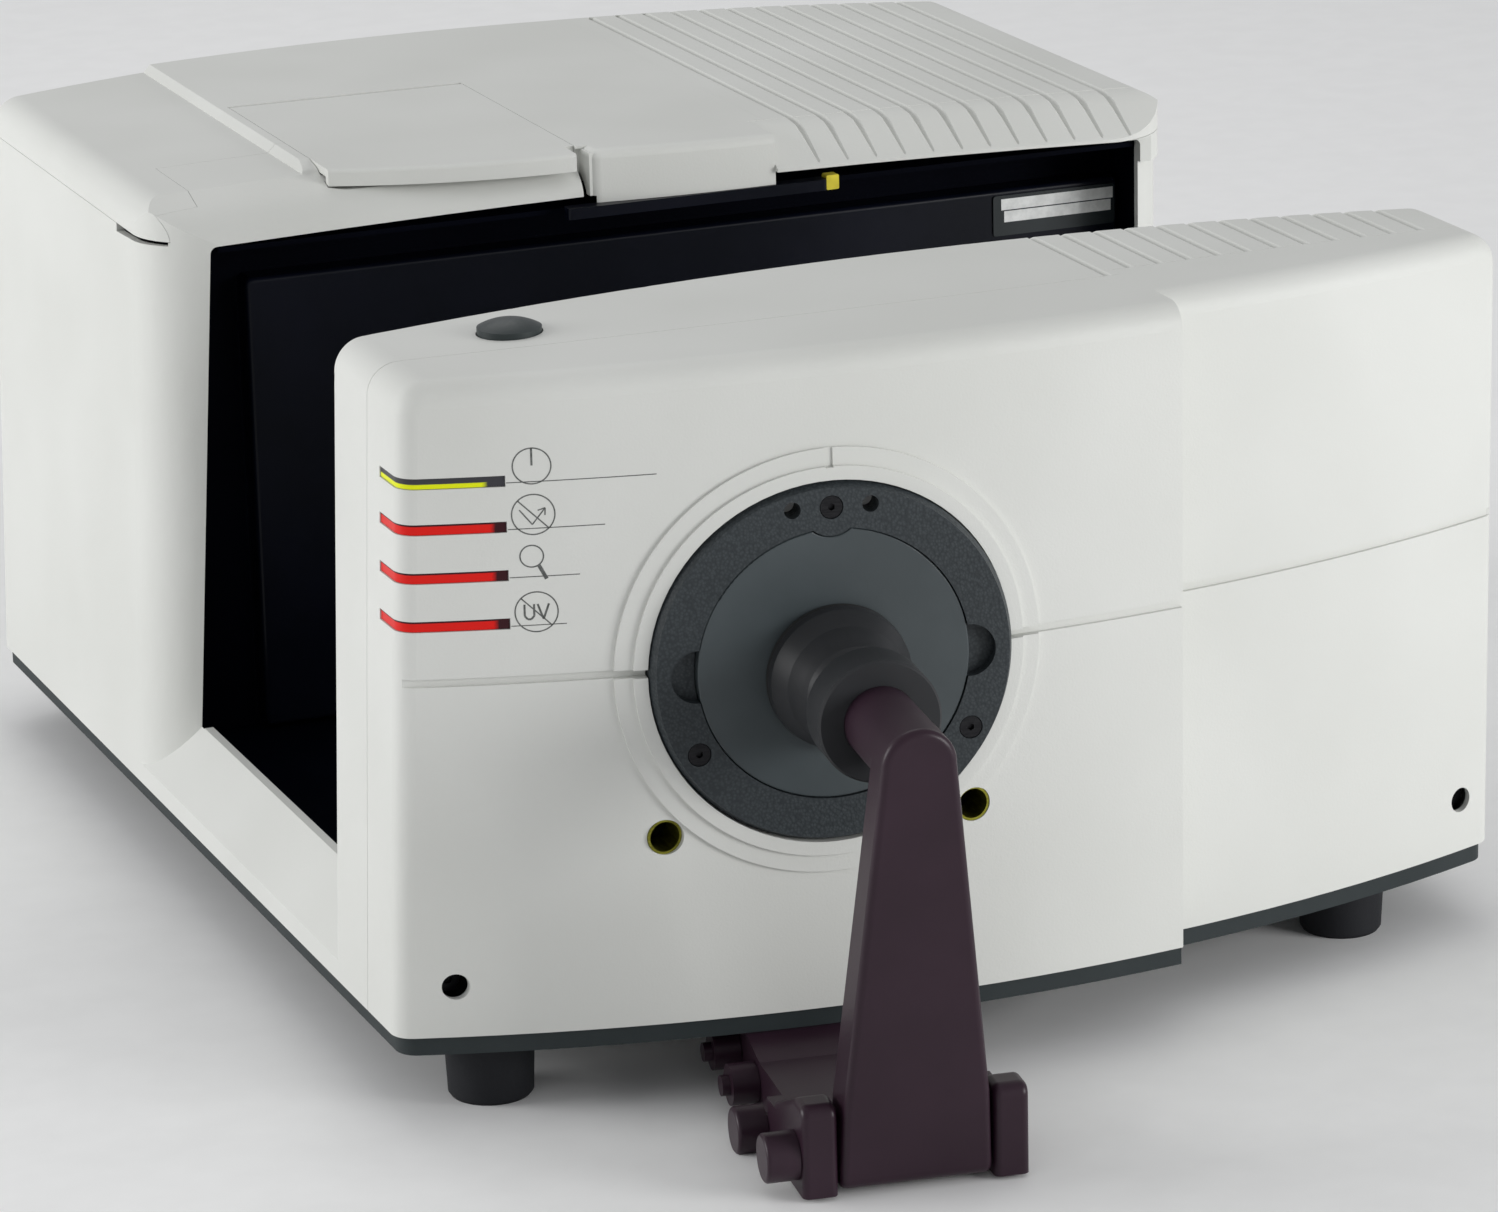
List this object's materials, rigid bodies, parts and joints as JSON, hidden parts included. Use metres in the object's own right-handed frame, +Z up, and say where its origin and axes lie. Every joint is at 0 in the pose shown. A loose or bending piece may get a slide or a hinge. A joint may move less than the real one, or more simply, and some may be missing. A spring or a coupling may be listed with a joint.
{
  "type": "benchtop colorimeter",
  "caption": "Benchtop integrating-sphere colorimeter with a side-view reflection port, swing-out sprung sample clamp and open transmission compartment.",
  "frame": {"origin": "on the bench under the feet, midway between the case sides; Y is counted from 200 mm behind the front corners of the case", "axes": "+Z up, -Y towards the operator (measuring port side), +X to the operator's right"},
  "size_m": [0.4493, 0.6982, 0.2791],
  "materials": {
    "shell_grey": "fine textured moulding",
    "ring_charcoal": "textured",
    "pan_slate": "powder coated",
    "clamp_black": "satin powder coat",
    "anodised_black": "black anodised",
    "bare_aluminium": "satin",
    "steel": "satin",
    "dark_screw": "black oxide",
    "liner_black": "matt",
    "panel_black": "semi-gloss",
    "rubber_black": "matt",
    "facing_grey": "firm moulded rubber",
    "button_grey": "satin",
    "yellow_lens": "tinted, unlit",
    "red_lens": "tinted",
    "brass": "satin",
    "white_coating": "matt reflectance coating",
    "clear_glass": "polished",
    "label_blank": "satin",
    "board_green": "solder mask",
    "black_plastic": "satin"
  },
  "bodies": {
    "case": {"front_cover": "shell_grey", "main_housing": "shell_grey", "rear_cover": "shell_grey", "power_light": "yellow_lens", "specular_light": "red_lens", "lens_light": "red_lens", "uv_light": "red_lens", "lid_hinge_pin": "steel", "base_pan": "pan_slate", "rubber_feet": "rubber_black", "foot_screws": "steel", "port_ring": "ring_charcoal", "port_screws": "dark_screw", "port_plate": "anodised_black", "sphere_front_half": "white_coating", "sphere_rear_half": "white_coating", "lamp_house": "bare_aluminium", "condenser_tube": "anodised_black", "flash_lamp": "clear_glass", "clamp_bracket": "clamp_black", "bracket_screws": "steel", "clamp_pivot_pin": "clamp_black", "bracket_side_pins": "clamp_black", "button_guide": "black_plastic", "button_spring": "steel", "accessory_bushes": "brass", "cover_screws": "dark_screw", "front_board": "board_green", "compartment_liner": "liner_black", "compartment_panel": "panel_black", "beam_window": "clear_glass", "blank_label": "label_blank", "light_shield_rail": "panel_black", "alignment_marker": "yellow_lens", "lens_barrel": "anodised_black", "spectrometer_body": "anodised_black", "grating": "clear_glass", "detector_board": "board_green", "chassis_plate": "bare_aluminium", "sphere_stand": "bare_aluminium", "power_supply": "bare_aluminium", "main_board": "board_green", "rear_panel": "pan_slate", "panel_screws": "steel", "power_inlet": "black_plastic", "switch_bezel": "black_plastic", "data_port": "steel", "fan_frame": "black_plastic"},
    "clamp_arm_body": {"clamp_arm": "clamp_black", "plunger_spring": "steel"},
    "plunger_body": {"clamp_plunger": "anodised_black"},
    "pad_body": {"clamp_pad": "clamp_black", "pad_facing": "facing_grey"},
    "read_button_body": {"read_button": "button_grey"},
    "lid_body": {"top_lid": "shell_grey"},
    "switch_body": {"power_switch": "black_plastic"},
    "uv_filter_body": {"uv_filter_slide": "steel"},
    "zoom_body": {"zoom_lens": "clear_glass"},
    "fan_body": {"fan_rotor": "black_plastic"}
  },
  "joints": [
    {"name": "clamp_hinge", "type": "hinge", "parent": "case", "child": "clamp_arm_body", "pos_m": [-0.08266, -0.32358, 0.0145], "axis": [0.9903, -0.1392, 0], "range_deg": [0, 84]},
    {"name": "clamp_plunger_slide", "type": "slide", "parent": "clamp_arm_body", "child": "plunger_body", "axis": [-0.1392, -0.9903, 0], "range_m": [0, 0.006], "stiffness_N_per_m": 1500, "springref_m": -0.004, "deforming": ["plunger_spring"]},
    {"name": "clamp_pad_spin", "type": "hinge", "parent": "plunger_body", "child": "pad_body", "pos_m": [-0.07102, -0.24796, 0.158], "axis": [-0.1392, -0.9903, 0], "continuous": true},
    {"name": "read_button_press", "type": "slide", "parent": "case", "child": "read_button_body", "axis": [0, 0, -1], "range_m": [0, 0.0025], "stiffness_N_per_m": 700, "springref_m": -0.002, "deforming": ["button_spring"]},
    {"name": "top_lid_hinge", "type": "hinge", "parent": "case", "child": "lid_body", "pos_m": [-0.1383, 0.23, 0.27482], "axis": [-1, 0, 0.0033], "range_deg": [0, 95]},
    {"name": "power_switch_rock", "type": "hinge", "parent": "case", "child": "switch_body", "pos_m": [0.05, 0.335, 0.084], "axis": [1, 0, 0], "range_deg": [0, 14]},
    {"name": "uv_filter_travel", "type": "slide", "parent": "case", "child": "uv_filter_body", "axis": [1, 0, 0], "range_m": [0, 0.024]},
    {"name": "zoom_lens_travel", "type": "slide", "parent": "case", "child": "zoom_body", "axis": [-0.1392, -0.9903, 0], "range_m": [-0.014, 0.009]},
    {"name": "fan_spin", "type": "hinge", "parent": "case", "child": "fan_body", "pos_m": [-0.062, 0.333, 0.098], "axis": [0, 1, 0], "continuous": true}
  ]
}
